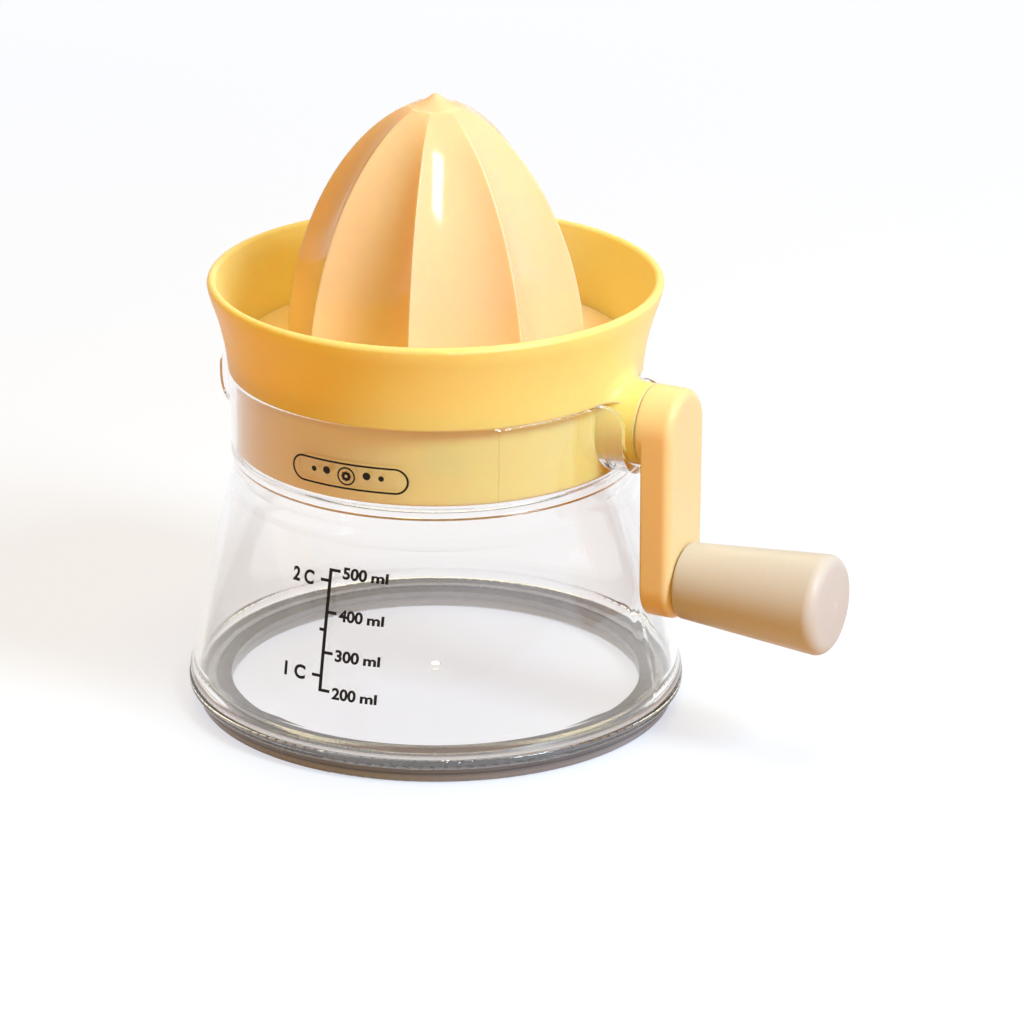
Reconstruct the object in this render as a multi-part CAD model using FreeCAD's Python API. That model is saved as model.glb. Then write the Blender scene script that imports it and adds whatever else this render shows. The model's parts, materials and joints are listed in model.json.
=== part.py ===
import FreeCAD, Part
import math
import os

# Hand-cranked citrus juicer, in millimetres. +Z is up and z = 0 is the table. The origin is on the
# jug's axis, and +X runs along the crank shaft, from the reamer out to the crank.

V = FreeCAD.Vector
X_AXIS = V(1, 0, 0)
Y_AXIS = V(0, 1, 0)
Z_AXIS = V(0, 0, 1)

# ---------------------------------------------------------------- fits
seat_gap = 0.05          # between faces that rest on each other
press_fit = 0.01         # round a piece that is pressed or glued in
run_fit = 0.08           # radial play of a journal in its bush
thrust_gap = 0.15        # end play of a turning piece
loose_fit = 0.3          # round a piece that lifts out

# ---------------------------------------------------------------- jug
foot_ring_height = 4.4
foot_ring_inset = 1.0    # of the foot ring inside the flange
foot_ring_width = 10.2
foot_ring_taper = 1.4    # how far the ring's outer wall leans in towards the table
foot_ring_edge = 0.7     # rounding of its lower edges
foot_tongue_width = 2.0
foot_tongue_height = 1.2

flange_radius = 65.5     # the two ridges round the jug's foot
flange_height = 7.6
cone_foot_inset = 1.1    # of the cone's foot inside the flange
waist_radius = 53.1
cone_bulge = 0.6         # how far the jug's wall bows out between foot and waist
cone_height = 52.0       # from the flange's top up to the waist
collar_height = 28.3     # from the waist up to the collar's top
waist_blend = 4.0        # height of the blends below and above the waist
collar_flare = 1.1       # of the collar beyond the waist
collar_edge = 0.7
waist_bead = 0.5         # how far the round below the collar stands out
waist_ring = 0.8         # how far the ring under the bowl's skirt reaches into the jug
waist_ring_height = 3.6
jug_wall = 2.3
floor_thickness = 3.1
floor_lip = 2.0          # width of the jug's wall outside the floor plate
gate_nub_radius = 1.4
gate_nub_height = 0.5

trough_gap = 0.4         # between the trough and the crank's boss
trough_wall = 2.1
trough_corner = 5.5
cradle_gap = 2.2         # how far the crank's cradle stops short of the boss's end
lip_length = 3.0         # of the pouring lip beyond the collar

# ---------------------------------------------------------------- bowl
skirt_depth = 21.0
skirt_wall = 2.2
bowl_height = 23.7       # from the jug's collar up to the rim
bowl_rim_radius = 59.4
bowl_wall = 2.5
rim_bead_height = 3.4    # of the rim's upright band
bowl_floor_rise = 2.5    # from the collar's top up to the ledge that carries the strainer
ledge_width = 3.6

# ---------------------------------------------------------------- strainer
strainer_thickness = 2.2
strainer_collar_height = 4.0
strainer_collar_wall = 1.6
slot_width = 1.6
slot_inner_radius = 26.5
slot_outer_radius = 37.0
slots_per_group = 13
slot_pitch = 6.0         # degrees
slot_groups = (5.0, 125.0, 245.0)
rim_slot_margin = 4.5    # from the strainer's edge to the outer ring of slots
rim_slot_length = 5.0

# ---------------------------------------------------------------- reamer
reamer_radius = 39.3
reamer_height = 66.1     # of the ridges' outline, from the foot to where it would close
reamer_foot_gap = 0.4    # above the strainer
outline_power = 1.87     # the ridges follow radius = R (1 - t**outline_power)**outline_root
outline_root = 0.58
ridge_count = 8
ridge_start = -28.3      # degrees from +X to the first ridge
flute_depth = 0.185      # share of the radius that a flute takes at the foot
flute_fade = 12          # power of the height at which the flutes run out
reamer_wall = 2.4
tip_share = 0.972        # share of the height where the pointed tip starts
tip_radius = 1.3
tip_rise = 1.45          # of the tip above the top of the outline
socket_radius = 7.6
socket_depth = 13.0
reamer_rib_thickness = 1.6

# ---------------------------------------------------------------- crank
shaft_drop = 7.3         # from the collar's top down to the shaft's axis
shaft_radius = 4.0
boss_radius = 10.7
boss_proud = 2.7         # of the boss beyond the bowl's rim, so that the crank clears it
boss_blend = 4.0         # fillet between the boss and the bowl's wall
hub_thickness = 1.8
arm_thickness = 8.3
arm_top_radius = 10.8
arm_end_radius = 10.4
arm_edge = 2.4
crank_throw = 41.0
shaft_square = 6.0       # across the flats of the shaft's squared end
arm_socket_depth = 6.8
axle_radius = 3.5
axle_head_radius = 5.2
axle_head_length = 3.0
axle_seat_depth = 6.5
grip_length = 41.9
grip_base_radius = 10.0
grip_end_radius = 13.4
grip_base_edge = 0.8
grip_end_edge = 3.2
grip_crown = 0.4         # rise of the grip's end face
grip_wall_end = 6.4
retainer_length = 3.0
retainer_radius = 6.6

# ---------------------------------------------------------------- bevel pair
gear_module = 1.25
pinion_teeth = 12
crown_teeth = 24
pressure_angle = 25.0
face_width = 5.0
backlash = 0.12          # taken off each flank, at the large end
root_clearance = 0.3
flank_steps = 4
pinion_hub_radius = 5.8
pinion_hub_length = 2.3
pinion_pin_radius = 0.8
crown_hub_radius = 7.4
crown_plate = 3.0        # thickness of the crown gear's rim behind its teeth
gear_pin_radius = 1.0

# ---------------------------------------------------------------- gear case
case_inner_radius = 17.6
case_wall = 2.4
case_roof_height = 10.2  # from the shaft's axis up to the roof's inside
case_roof_thickness = 2.2
case_depth = 12.6        # from the shaft's axis down to the case's open end
pinion_pocket_radius = 9.3
pinion_pocket_wall = 2.0
tunnel_radius = 8.9
tunnel_bore_radius = 5.8
web_thickness = 2.4
web_depth = 13.0
web_angles = (60.0, 180.0, 300.0)
neck_radius = 8.2
neck_height = 7.9
neck_bore_radius = 6.0
spindle_radius = 4.0
spindle_foot_radius = 3.0
spindle_collar_radius = 6.4
spindle_collar_height = 1.6
drive_hex = 7.0          # across the flats of the spindle's hexagon
drive_hex_height = 12.0
cover_thickness = 2.5
cover_bore_depth = 1.8
foot_bush_radius = 4.2
bush_flange_radius = 6.0
bush_flange = 0.5
bush_length = 8.0
seal_height = 1.6
seal_land = 0.3
screw_radius = 1.2
screw_head_radius = 2.3
screw_head_height = 1.3
screw_length = 8.0
screw_circle_radius = 20.4
screw_post_radius = 3.0
screw_pilot_spare = 0.5  # depth of the pilot hole beyond the screw
screw_slot_width = 0.6
screw_slot_depth = 0.6
arm_foot_thickness = 1.4 # of the pads that seat the gear case's arms against the bowl's skirt
arm_foot_width = 9.0
tunnel_seat = 2.4        # how far the tunnel's end sits in the boss

# ---------------------------------------------------------------- levels and places worked out from these
collar_radius = waist_radius + collar_flare
foot_ring_radius = flange_radius - foot_ring_inset
foot_ring_inner_radius = foot_ring_radius - foot_ring_width
foot_tongue_radius = foot_ring_radius - foot_ring_width / 2
cone_foot_radius = flange_radius - cone_foot_inset
bowl_foot_radius = collar_radius
trough_outer_radius = boss_radius + trough_gap + trough_wall
boss_reach = bowl_rim_radius + boss_proud
cradle_reach = boss_reach - cradle_gap
lip_reach = collar_radius + lip_length
flange_top = foot_ring_height + flange_height
waist_height = flange_top + cone_height
collar_top = waist_height + collar_height
shaft_z = collar_top - shaft_drop
skirt_radius = collar_radius - jug_wall - loose_fit - 0.3
skirt_bottom = collar_top - skirt_depth
ledge_z = collar_top + bowl_floor_rise
strainer_z = ledge_z + seat_gap
strainer_top = strainer_z + strainer_thickness
strainer_radius = skirt_radius - loose_fit
rim_slot_outer_radius = strainer_radius - rim_slot_margin
rim_slot_inner_radius = rim_slot_outer_radius - rim_slot_length
rim_z = collar_top + bowl_height
reamer_z = strainer_top + reamer_foot_gap
arm_x = boss_reach + loose_fit + hub_thickness
grip_x = arm_x + arm_thickness
grip_axis_z = shaft_z - crank_throw
case_radius = case_inner_radius + case_wall
case_bottom = shaft_z - case_depth
case_roof_z = shaft_z + case_roof_height
case_top = case_roof_z + case_roof_thickness
strainer_hole_radius = math.hypot(case_radius, pinion_pocket_radius / 2) + loose_fit + 0.4
neck_top = case_top + neck_height
hex_z = neck_top + bush_flange + thrust_gap + spindle_collar_height
pinion_pitch_radius = gear_module * pinion_teeth / 2
crown_pitch_radius = gear_module * crown_teeth / 2
pocket_x = crown_pitch_radius + pinion_hub_length + thrust_gap + 0.6


# ---------------------------------------------------------------- helpers
def outline(start, *steps):
    """Closed outline from (a, b) points: a step is a point, or (middle point, end point) of an arc."""
    edges = []
    here = start
    for step in steps + (start,):
        if isinstance(step[0], tuple):
            middle, end = step
            edges.append((here, middle, end))
            here = end
        elif math.dist(here, step) > 1e-6:
            edges.append((here, step))
            here = step
    return edges


def face_of(edges, place):
    """Flat face of an outline, with place(a, b) giving the point in space."""
    shapes = []
    for edge in edges:
        points = [place(*point) for point in edge]
        if len(points) == 2:
            shapes.append(Part.makeLine(*points))
        else:
            shapes.append(Part.Arc(*points).toShape())
    return Part.Face(Part.Wire(shapes))


def turned(edges, x_axis=False, height=0.0):
    """Solid of revolution: about Z with points (radius, z), or about X with points (x, radius)."""
    if x_axis:
        face = face_of(edges, lambda x, r: V(x, 0, height + r))
        return face.revolve(V(0, 0, height), X_AXIS, 360)
    return face_of(edges, lambda r, z: V(r, 0, z)).revolve(V(0, 0, 0), Z_AXIS, 360)


def cap_middle(top, radius, rise):
    """(along, across) half-way up a round cap that closes a radius on the axis at height top."""
    ball = (radius ** 2 + rise ** 2) / (2 * rise)
    half = math.asin(radius / ball) / 2
    return top - ball + ball * math.cos(half), ball * math.sin(half)


def rod_x(radius, x0, x1, y=0.0, z=shaft_z):
    return Part.makeCylinder(radius, x1 - x0, V(x0, y, z), X_AXIS)


def rod_z(radius, z0, z1, x=0.0, y=0.0):
    return Part.makeCylinder(radius, z1 - z0, V(x, y, z0))


def tube_x(outer, inner, x0, x1):
    return rod_x(outer, x0, x1).cut(rod_x(inner, x0, x1))


def tube_z(outer, inner, z0, z1):
    return rod_z(outer, z0, z1).cut(rod_z(inner, z0, z1))


def block(x0, x1, y0, y1, z0, z1):
    return Part.makeBox(x1 - x0, y1 - y0, z1 - z0, V(x0, y0, z0))


def spun(shape, angle):
    copy = shape.copy()
    copy.rotate(V(0, 0, 0), Z_AXIS, angle)
    return copy


def polar(radius, angle, z=0.0):
    return V(radius * math.cos(math.radians(angle)), radius * math.sin(math.radians(angle)), z)


def polygon_prism(sides, across_flats, origin, direction, length, spin=0.0):
    """Prism with flat sides along direction, which is X or Z."""
    corner = across_flats / 2 / math.cos(math.pi / sides)
    points = []
    for i in range(sides + 1):
        angle = math.radians(spin) + 2 * math.pi * i / sides
        a = corner * math.cos(angle)
        b = corner * math.sin(angle)
        points.append(origin + (V(0, a, b) if direction.x else V(a, b, 0)))
    return Part.Face(Part.makePolygon(points)).extrude(direction * length)


def edges_where(shape, test):
    return [edge for edge in shape.Edges if test(edge.BoundBox)]


def rounded(shape, radius, test):
    """Fillet the edges whose bounding box passes the test."""
    return shape.makeFillet(radius, edges_where(shape, test))


parts = {}


def keep(name, *solids):
    clean = [solid for shape in solids for solid in shape.Solids]
    parts[name] = clean[0] if len(clean) == 1 else Part.makeCompound(clean)


# ---------------------------------------------------------------- jug
def trough(radius, x0, x1, top):
    """Channel with a round bottom on the shaft's axis and upright sides, open at the top."""
    bottom = face_of(
        outline((-radius, top), (-radius, shaft_z), ((0, shaft_z - radius), (radius, shaft_z)), (radius, top)),
        lambda y, z: V(x0, y, z))
    return bottom.extrude(X_AXIS * (x1 - x0))


def trough_walls(reach):
    """Outer body of a trough that ends at x = reach, with its top outer corners rounded off."""
    low = shaft_z - trough_outer_radius
    back = waist_radius - 2 * jug_wall
    corner = trough_corner * (1 - math.sqrt(0.5))
    side = face_of(
        outline((back, low), (reach, low), (reach, collar_top - trough_corner),
                ((reach - corner, collar_top - corner), (reach - trough_corner, collar_top)), (back, collar_top)),
        lambda x, z: V(x, -trough_outer_radius, z))
    limits = side.extrude(Y_AXIS * 2 * trough_outer_radius)
    return trough(trough_outer_radius, 0, reach, collar_top).common(limits)


def jug_wall_outline(floor_radius, floor_top):
    """Section of the jug's wall: up the outside from the foot ring, over the collar and down the inside."""
    ridge = (flange_height - 2.4) / 4
    base = foot_ring_height
    slope = (cone_foot_radius - waist_radius) / cone_height
    middle = flange_top + cone_height / 2
    blend_radius = waist_radius + waist_blend * slope
    collar_inner = skirt_radius + loose_fit
    shelf_z = skirt_bottom - loose_fit
    waist_inner = waist_radius - jug_wall
    bead_low = waist_height + waist_blend
    return outline(
        (floor_radius + press_fit, base), (flange_radius - 0.6, base),
        ((flange_radius - 0.1, base + 0.3), (flange_radius, base + ridge)),
        ((flange_radius - 0.1, base + 2 * ridge - 0.2), (flange_radius - 0.5, base + 2 * ridge)),
        ((flange_radius - 0.15, base + 3 * ridge), (flange_radius - 0.5, base + 4 * ridge)),
        ((cone_foot_radius + 0.15, flange_top - 1.2), (cone_foot_radius, flange_top)),
        (((cone_foot_radius + blend_radius) / 2 + cone_bulge, middle - waist_blend / 2),
         (blend_radius + 0.3, waist_height - waist_blend)),
        ((waist_radius + 0.15, waist_height), (waist_radius + 0.1, bead_low)),
        ((waist_radius + 0.1 + waist_bead, (bead_low + shelf_z) / 2), (waist_radius + 0.2, shelf_z)),
        (collar_radius, collar_top - collar_edge),
        ((collar_radius - 0.3 * collar_edge, collar_top - 0.3 * collar_edge),
         (collar_radius - collar_edge, collar_top)),
        (collar_inner + collar_edge, collar_top), (collar_inner, collar_top - collar_edge),
        (collar_inner, shelf_z),
        ((waist_inner - waist_ring, shelf_z - waist_ring_height / 2), (waist_inner, shelf_z - waist_ring_height)),
        (waist_inner, waist_height),
        (((cone_foot_radius - jug_wall + waist_inner) / 2 + cone_bulge, middle),
         (cone_foot_radius - jug_wall, flange_top)),
        (floor_radius - 1.0, floor_top), (floor_radius + press_fit, floor_top))


def make_jug():
    floor_top = foot_ring_height + floor_thickness
    floor_radius = flange_radius - floor_lip
    shell = turned(jug_wall_outline(floor_radius, floor_top))
    walls = trough_walls(cradle_reach).fuse(spun(trough_walls(lip_reach), 180))
    inside = rod_z(skirt_radius + loose_fit, shaft_z - 2 * trough_outer_radius, collar_top + 1)
    shell = shell.fuse(walls.cut(inside))
    channel = trough(boss_radius + trough_gap, -lip_reach - 1, cradle_reach + 1, collar_top + 1)
    shell = shell.cut(channel)
    keep("jug_shell", shell)

    tongue_inner = foot_tongue_radius - foot_tongue_width / 2
    tongue_outer = foot_tongue_radius + foot_tongue_width / 2
    plate = rod_z(floor_radius, foot_ring_height, floor_top)
    groove_cut = tube_z(tongue_outer + press_fit, tongue_inner - press_fit, foot_ring_height,
                        foot_ring_height + foot_tongue_height + press_fit)
    plate = plate.cut(groove_cut)
    nub_top = floor_top + gate_nub_height
    nub_z, nub_r = cap_middle(nub_top, gate_nub_radius, gate_nub_height)
    nub = turned(outline((0, floor_top), (gate_nub_radius, floor_top), ((nub_r, nub_z), (0, nub_top))))
    keep("jug_floor_plate", plate.fuse(nub))

    low_radius = foot_ring_radius - foot_ring_taper
    ring = turned(outline(
        (foot_ring_inner_radius + foot_ring_edge, 0), (low_radius - foot_ring_edge, 0),
        ((low_radius - 0.3 * foot_ring_edge, 0.3 * foot_ring_edge), (low_radius, foot_ring_edge)),
        (foot_ring_radius, foot_ring_height),
        (tongue_outer, foot_ring_height), (tongue_outer, foot_ring_height + foot_tongue_height),
        (tongue_inner, foot_ring_height + foot_tongue_height), (tongue_inner, foot_ring_height),
        (foot_ring_inner_radius, foot_ring_height), (foot_ring_inner_radius, foot_ring_edge)))
    keep("foot_ring", ring)


# ---------------------------------------------------------------- bowl with its gear case
def bowl_wall_with_boss(foot_z, ledge_inner):
    """Flared wall above the jug's collar, with the upper half of the crank boss blended into it."""
    rise = bowl_rim_radius - bowl_foot_radius
    mid_radius = bowl_foot_radius + 0.28 * rise
    flare_radius = bowl_foot_radius + 0.72 * rise
    mid_z = collar_top + 0.40 * bowl_height
    flare_z = collar_top + 0.74 * bowl_height
    lip = bowl_wall / 2
    wall = turned(outline(
        (ledge_inner, foot_z), (bowl_foot_radius, foot_z), ((mid_radius, mid_z), (flare_radius, flare_z)),
        ((bowl_rim_radius - 0.5, rim_z - rim_bead_height), (bowl_rim_radius, rim_z - lip)),
        ((bowl_rim_radius - lip, rim_z), (bowl_rim_radius - bowl_wall, rim_z - lip)),
        ((flare_radius - bowl_wall - 0.2, flare_z), (skirt_radius + 0.3, strainer_top)),
        (skirt_radius, strainer_top - 0.6), (skirt_radius, ledge_z), (ledge_inner, ledge_z)))
    boss = rod_x(boss_radius, ledge_inner, boss_reach)
    boss.rotate(V(0, 0, shaft_z), X_AXIS, 180)
    boss = boss.common(block(0, 2 * boss_reach, -boss_reach, boss_reach, foot_z, rim_z))
    boss = boss.cut(rod_z(skirt_radius, foot_z, rim_z))
    joined = spun(wall, 90).fuse(boss).removeSplitter()
    return rounded(joined, boss_blend, lambda box: (
        box.ZMax > shaft_z + boss_radius - 0.5 and box.ZMax < rim_z - 5 and box.XMin > skirt_radius + 0.5
        and 0.8 * boss_radius < box.YLength < 2.2 * boss_radius and box.XMax < boss_reach - 1))


def make_bowl():
    ledge_inner = skirt_radius - ledge_width
    skirt_inner = skirt_radius - skirt_wall
    foot_z = collar_top + seat_gap
    edge = 0.5
    wall = bowl_wall_with_boss(foot_z, ledge_inner)
    skirt = turned(outline(
        (skirt_radius - edge, skirt_bottom),
        ((skirt_radius - 0.3 * edge, skirt_bottom + 0.3 * edge), (skirt_radius, skirt_bottom + edge)),
        (skirt_radius, foot_z), (ledge_inner, foot_z), (ledge_inner, foot_z - edge),
        (skirt_inner, foot_z - edge - (skirt_inner - ledge_inner)), (skirt_inner, skirt_bottom)))
    boss = rod_x(boss_radius, skirt_inner + 0.2 * skirt_wall, boss_reach)
    boss = boss.common(block(0, 2 * boss_reach, -boss_reach, boss_reach, skirt_bottom, foot_z))
    shell = wall.fuse([skirt, boss])
    bore = rod_x(tunnel_bore_radius, 0, boss_reach + 1)
    seat = rod_x(tunnel_radius + press_fit, 0, skirt_inner + tunnel_seat)
    keep("juicer_bowl", shell.cut([bore, seat]).removeSplitter())


def make_gear_case():
    """Case that hangs on three arms and the shaft's tunnel under the middle of the bowl."""
    tube = tube_z(case_radius, case_inner_radius, case_bottom, case_roof_z)
    roof = turned(outline(
        (0, case_roof_z), (case_radius, case_roof_z),
        (case_radius, case_top - 1.2), ((case_radius - 0.35, case_top - 0.35), (case_radius - 1.2, case_top)),
        (neck_radius + 1.2, case_top), ((neck_radius + 0.35, case_top + 0.35), (neck_radius, case_top + 1.2)),
        (neck_radius, neck_top), (0, neck_top)))
    pocket = rod_x(pinion_pocket_radius + pinion_pocket_wall, pinion_pitch_radius, pocket_x + pinion_pocket_wall)
    tunnel_end = skirt_radius - skirt_wall + tunnel_seat - press_fit
    tunnel = rod_x(tunnel_radius, pocket_x, tunnel_end)
    arm_top = ledge_z - loose_fit - ledge_width / 2
    pad_radius = skirt_radius - skirt_wall - press_fit
    pad_top = arm_top - 2 * ledge_width
    arm_low = arm_top - web_depth
    pad = tube_z(pad_radius, pad_radius - arm_foot_thickness, arm_low, pad_top)
    pad = pad.common(block(0, skirt_radius, -arm_foot_width / 2, arm_foot_width / 2, 0, rim_z))
    web_start = case_radius - case_wall / 2
    web_end = pad_radius - 0.35 * arm_foot_thickness
    arms = []
    pilots = []
    for angle in web_angles:
        centre = polar(screw_circle_radius, angle)
        web = face_of(
            outline((web_start, arm_low), (web_end, arm_low), (web_end, pad_top),
                    (skirt_radius - 2 * ledge_width, arm_top), (web_start, arm_top)),
            lambda x, z: V(x, -web_thickness / 2, z)).extrude(Y_AXIS * web_thickness)
        arms += [spun(web, angle), spun(pad, angle)]
        arms.append(rod_z(screw_post_radius, case_bottom, arm_top, centre.x, centre.y))
        pilots.append(rod_z(screw_radius + press_fit, case_bottom - 1, case_bottom + screw_length,
                            centre.x, centre.y))
    shell = roof.fuse([tube, pocket, tunnel] + arms)
    hollow = rod_z(case_inner_radius, case_bottom - 1, case_roof_z)
    pocket_hole = rod_x(pinion_pocket_radius, 0, pocket_x)
    bore = rod_x(tunnel_bore_radius, pocket_x - 1, boss_reach)
    neck_hole = rod_z(neck_bore_radius, case_roof_z + seal_land, neck_top + 1)
    stem_hole = rod_z(spindle_radius + 2 * run_fit, case_roof_z - 1, neck_top + 1)
    keep("gear_case", shell.cut([hollow, pocket_hole, bore, neck_hole, stem_hole] + pilots).removeSplitter())


def make_cover():
    top = case_bottom - seat_gap
    bottom = top - cover_thickness
    cover = rod_z(case_radius, bottom, top)
    ears = []
    holes = []
    screws = []
    for angle in web_angles:
        centre = polar(screw_circle_radius, angle)
        ears.append(rod_z(screw_post_radius, bottom, top, centre.x, centre.y))
        holes.append(rod_z(screw_radius + press_fit, bottom, top, centre.x, centre.y))
        head_top = bottom + screw_head_height
        holes.append(rod_z(screw_head_radius + press_fit, bottom, head_top, centre.x, centre.y))
        head = rod_z(screw_head_radius, bottom, head_top, centre.x, centre.y)
        shank = rod_z(screw_radius, head_top, case_bottom + screw_length - screw_pilot_spare, centre.x, centre.y)
        slot = block(-screw_head_radius, screw_head_radius, -screw_slot_width / 2, screw_slot_width / 2,
                     bottom, bottom + screw_slot_depth)
        cross = slot.fuse(spun(slot, 90))
        cross.translate(centre)
        screws.append(head.fuse(shank).cut(cross))
    cover = cover.fuse(ears).cut(holes)
    cover = cover.cut(rod_z(foot_bush_radius + press_fit, top - cover_bore_depth, top))
    keep("gear_case_cover", cover)
    keep("cover_screws", *screws)


def make_bushes():
    cover_top = case_bottom - seat_gap
    foot = tube_z(foot_bush_radius, spindle_foot_radius + run_fit, cover_top - cover_bore_depth, cover_top)
    flange = tube_z(bush_flange_radius, spindle_foot_radius + run_fit, cover_top, cover_top + bush_flange)
    keep("spindle_foot_bush", foot.fuse(flange))

    seal_z = case_roof_z + seal_land
    keep("spindle_seal_ring", tube_z(neck_bore_radius - press_fit, spindle_radius + press_fit,
                                     seal_z, seal_z + seal_height))
    sleeve = tube_z(neck_bore_radius - press_fit, spindle_radius + run_fit, seal_z + seal_height, neck_top)
    cap = tube_z(neck_radius - 0.4, spindle_radius + run_fit, neck_top, neck_top + bush_flange)
    keep("spindle_neck_bush", sleeve.fuse(cap))

    inner_start = pocket_x + 0.5
    outer_end = boss_reach
    outer_start = outer_end - bush_length
    keep("shaft_inner_bush", tube_x(tunnel_bore_radius - press_fit, shaft_radius + run_fit,
                                    inner_start, inner_start + bush_length))
    keep("shaft_outer_bush", tube_x(tunnel_bore_radius - press_fit, shaft_radius + run_fit,
                                    outer_start, outer_end))
    keep("shaft_seal_ring", tube_x(tunnel_bore_radius - press_fit, shaft_radius + press_fit,
                                   outer_start - seal_height, outer_start))


# ---------------------------------------------------------------- strainer
def make_strainer():
    collar_z = strainer_top + strainer_collar_height
    plate = rod_z(strainer_radius, strainer_z, strainer_top)
    collar = rod_z(strainer_hole_radius + strainer_collar_wall, strainer_z, collar_z)
    plate = plate.fuse(collar).cut(rod_z(strainer_hole_radius, strainer_z - 1, collar_z + 1))
    cuts = []
    for group in slot_groups:
        for i in range(slots_per_group):
            angle = group + (i - (slots_per_group - 1) / 2) * slot_pitch
            cuts.append(slot_cut(slot_inner_radius, slot_outer_radius, angle))
            if i % 2 == 0:
                cuts.append(slot_cut(rim_slot_inner_radius, rim_slot_outer_radius, angle))
    keep("strainer_plate", plate.cut(cuts))


def slot_cut(inner, outer, angle):
    half = slot_width / 2
    shape = face_of(
        outline((inner, -half), (outer, -half), ((outer + half, 0), (outer, half)), (inner, half),
                ((inner - half, 0), (inner, -half))),
        lambda x, y: V(x, y, strainer_z - 1))
    return spun(shape.extrude(Z_AXIS * (strainer_thickness + 2)), angle)


# ---------------------------------------------------------------- bevel gears
def involute_half_tooth(teeth, cone_angle):
    """Half of a tooth at the gear's large end, as (across, up) points about the pitch point."""
    pitch = gear_module * teeth / 2
    virtual = pitch / math.cos(cone_angle)
    alpha = math.radians(pressure_angle)
    base = virtual * math.cos(alpha)
    top = virtual + gear_module
    root = virtual - gear_module - root_clearance
    virtual_teeth = teeth / math.cos(cone_angle)
    half_angle = math.pi / 2 / virtual_teeth - backlash / virtual
    inv_alpha = math.tan(alpha) - alpha
    start = max(root, base)
    points = []
    if root < base:
        points.append((root, half_angle + inv_alpha))
    for i in range(flank_steps + 1):
        radius = start + (top - start) * i / flank_steps
        turn = math.acos(min(1.0, base / radius))
        points.append((radius, half_angle + inv_alpha - (math.tan(turn) - turn)))
    return [(r * math.sin(a), r * math.cos(a) - virtual) for r, a in points]


def bevel_tooth(teeth, cone_angle, overlap=0.45):
    """One straight tooth on an axis along +Z with its cone's apex at the origin, on the +X side."""
    pitch = gear_module * teeth / 2
    cone_length = pitch / math.sin(cone_angle)
    half = involute_half_tooth(teeth, cone_angle)
    low = (half[0][0], half[0][1] - overlap)
    up = V(math.cos(cone_angle), 0, -math.sin(cone_angle))
    along = V(math.sin(cone_angle), 0, math.cos(cone_angle))
    wires = []
    for scale in (1.0, (cone_length - face_width) / cone_length):
        centre = along * cone_length * scale
        right = [centre + (Y_AXIS * a + up * b) * scale for a, b in [low] + half]
        left = [centre + (Y_AXIS * -a + up * b) * scale for a, b in [low] + half]
        wires.append(Part.makePolygon(right + left[::-1] + right[:1]))
    return Part.makeLoft(wires, True, True)


def bevel_blank(teeth, cone_angle, hub_radius, hub_end):
    """Root cone and hub of a gear on +Z, apex at the origin: the hub ends at z = hub_end."""
    pitch = gear_module * teeth / 2
    cone_length = pitch / math.sin(cone_angle)
    depth = gear_module + root_clearance
    rows = []
    for length in (cone_length - face_width, cone_length):
        scale = length / cone_length
        rows.append((length * math.sin(cone_angle) - depth * scale * math.cos(cone_angle),
                     length * math.cos(cone_angle) + depth * scale * math.sin(cone_angle)))
    (r0, z0), (r1, z1) = rows
    back = (r1 - crown_plate * 0.4 * math.cos(cone_angle), z1 + crown_plate * 0.4 * math.sin(cone_angle) + 0.4)
    return outline((0, z0), (r0, z0), (r1, z1), back, (hub_radius, back[1]), (hub_radius, hub_end), (0, hub_end))


def bevel_gear(teeth, mate_teeth, hub_radius, hub_end):
    cone_angle = math.atan2(teeth, mate_teeth)
    gear = turned(bevel_blank(teeth, cone_angle, hub_radius, hub_end))
    tooth = bevel_tooth(teeth, cone_angle)
    return gear.fuse([spun(tooth, 360 * i / teeth) for i in range(teeth)])


def make_gears():
    spindle_hole = spindle_radius + press_fit
    crown_hub_end = shaft_z - case_bottom + seat_gap - bush_flange - thrust_gap
    crown = bevel_gear(crown_teeth, pinion_teeth, crown_hub_radius, crown_hub_end)
    crown.rotate(V(0, 0, 0), X_AXIS, 180)
    crown.translate(V(0, 0, shaft_z))
    pin_z = shaft_z - crown_hub_end + gear_pin_radius + 0.6
    crown_pin = Part.makeCylinder(gear_pin_radius, 2 * crown_hub_radius, V(0, -crown_hub_radius, pin_z), Y_AXIS)
    crown_pin_hole = Part.makeCylinder(gear_pin_radius + press_fit, 2 * crown_hub_radius + 2,
                                       V(0, -crown_hub_radius - 1, pin_z), Y_AXIS)
    crown = crown.cut([rod_z(spindle_hole, 0, shaft_z), crown_pin_hole])
    keep("crown_gear", crown)
    keep("crown_gear_pin", crown_pin)

    pinion_end = crown_pitch_radius + pinion_hub_length
    pinion = bevel_gear(pinion_teeth, crown_teeth, pinion_hub_radius, pinion_end)
    pinion.rotate(V(0, 0, 0), Z_AXIS, 180 / pinion_teeth)
    pinion.rotate(V(0, 0, 0), Y_AXIS, 90)
    pinion.translate(V(0, 0, shaft_z))
    pin_x = pinion_end - pinion_pin_radius - 0.25
    pin_reach = pinion_hub_radius - 0.2
    pinion_pin = Part.makeCylinder(pinion_pin_radius, 2 * pin_reach, V(pin_x, -pin_reach, shaft_z), Y_AXIS)
    pinion_pin_hole = Part.makeCylinder(pinion_pin_radius + press_fit, 2 * pinion_hub_radius + 2,
                                        V(pin_x, -pinion_hub_radius - 1, shaft_z), Y_AXIS)
    keep("bevel_pinion", pinion.cut([rod_x(shaft_radius + press_fit, 0, pinion_end + 1), pinion_pin_hole]))
    keep("pinion_pin", pinion_pin)
    keep("pinion_thrust_washer", tube_x(pinion_hub_radius + 0.6, shaft_radius + run_fit,
                                        pinion_end + 0.05, pocket_x - 0.05))
    return crown_pin_hole, pinion_pin_hole


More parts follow.
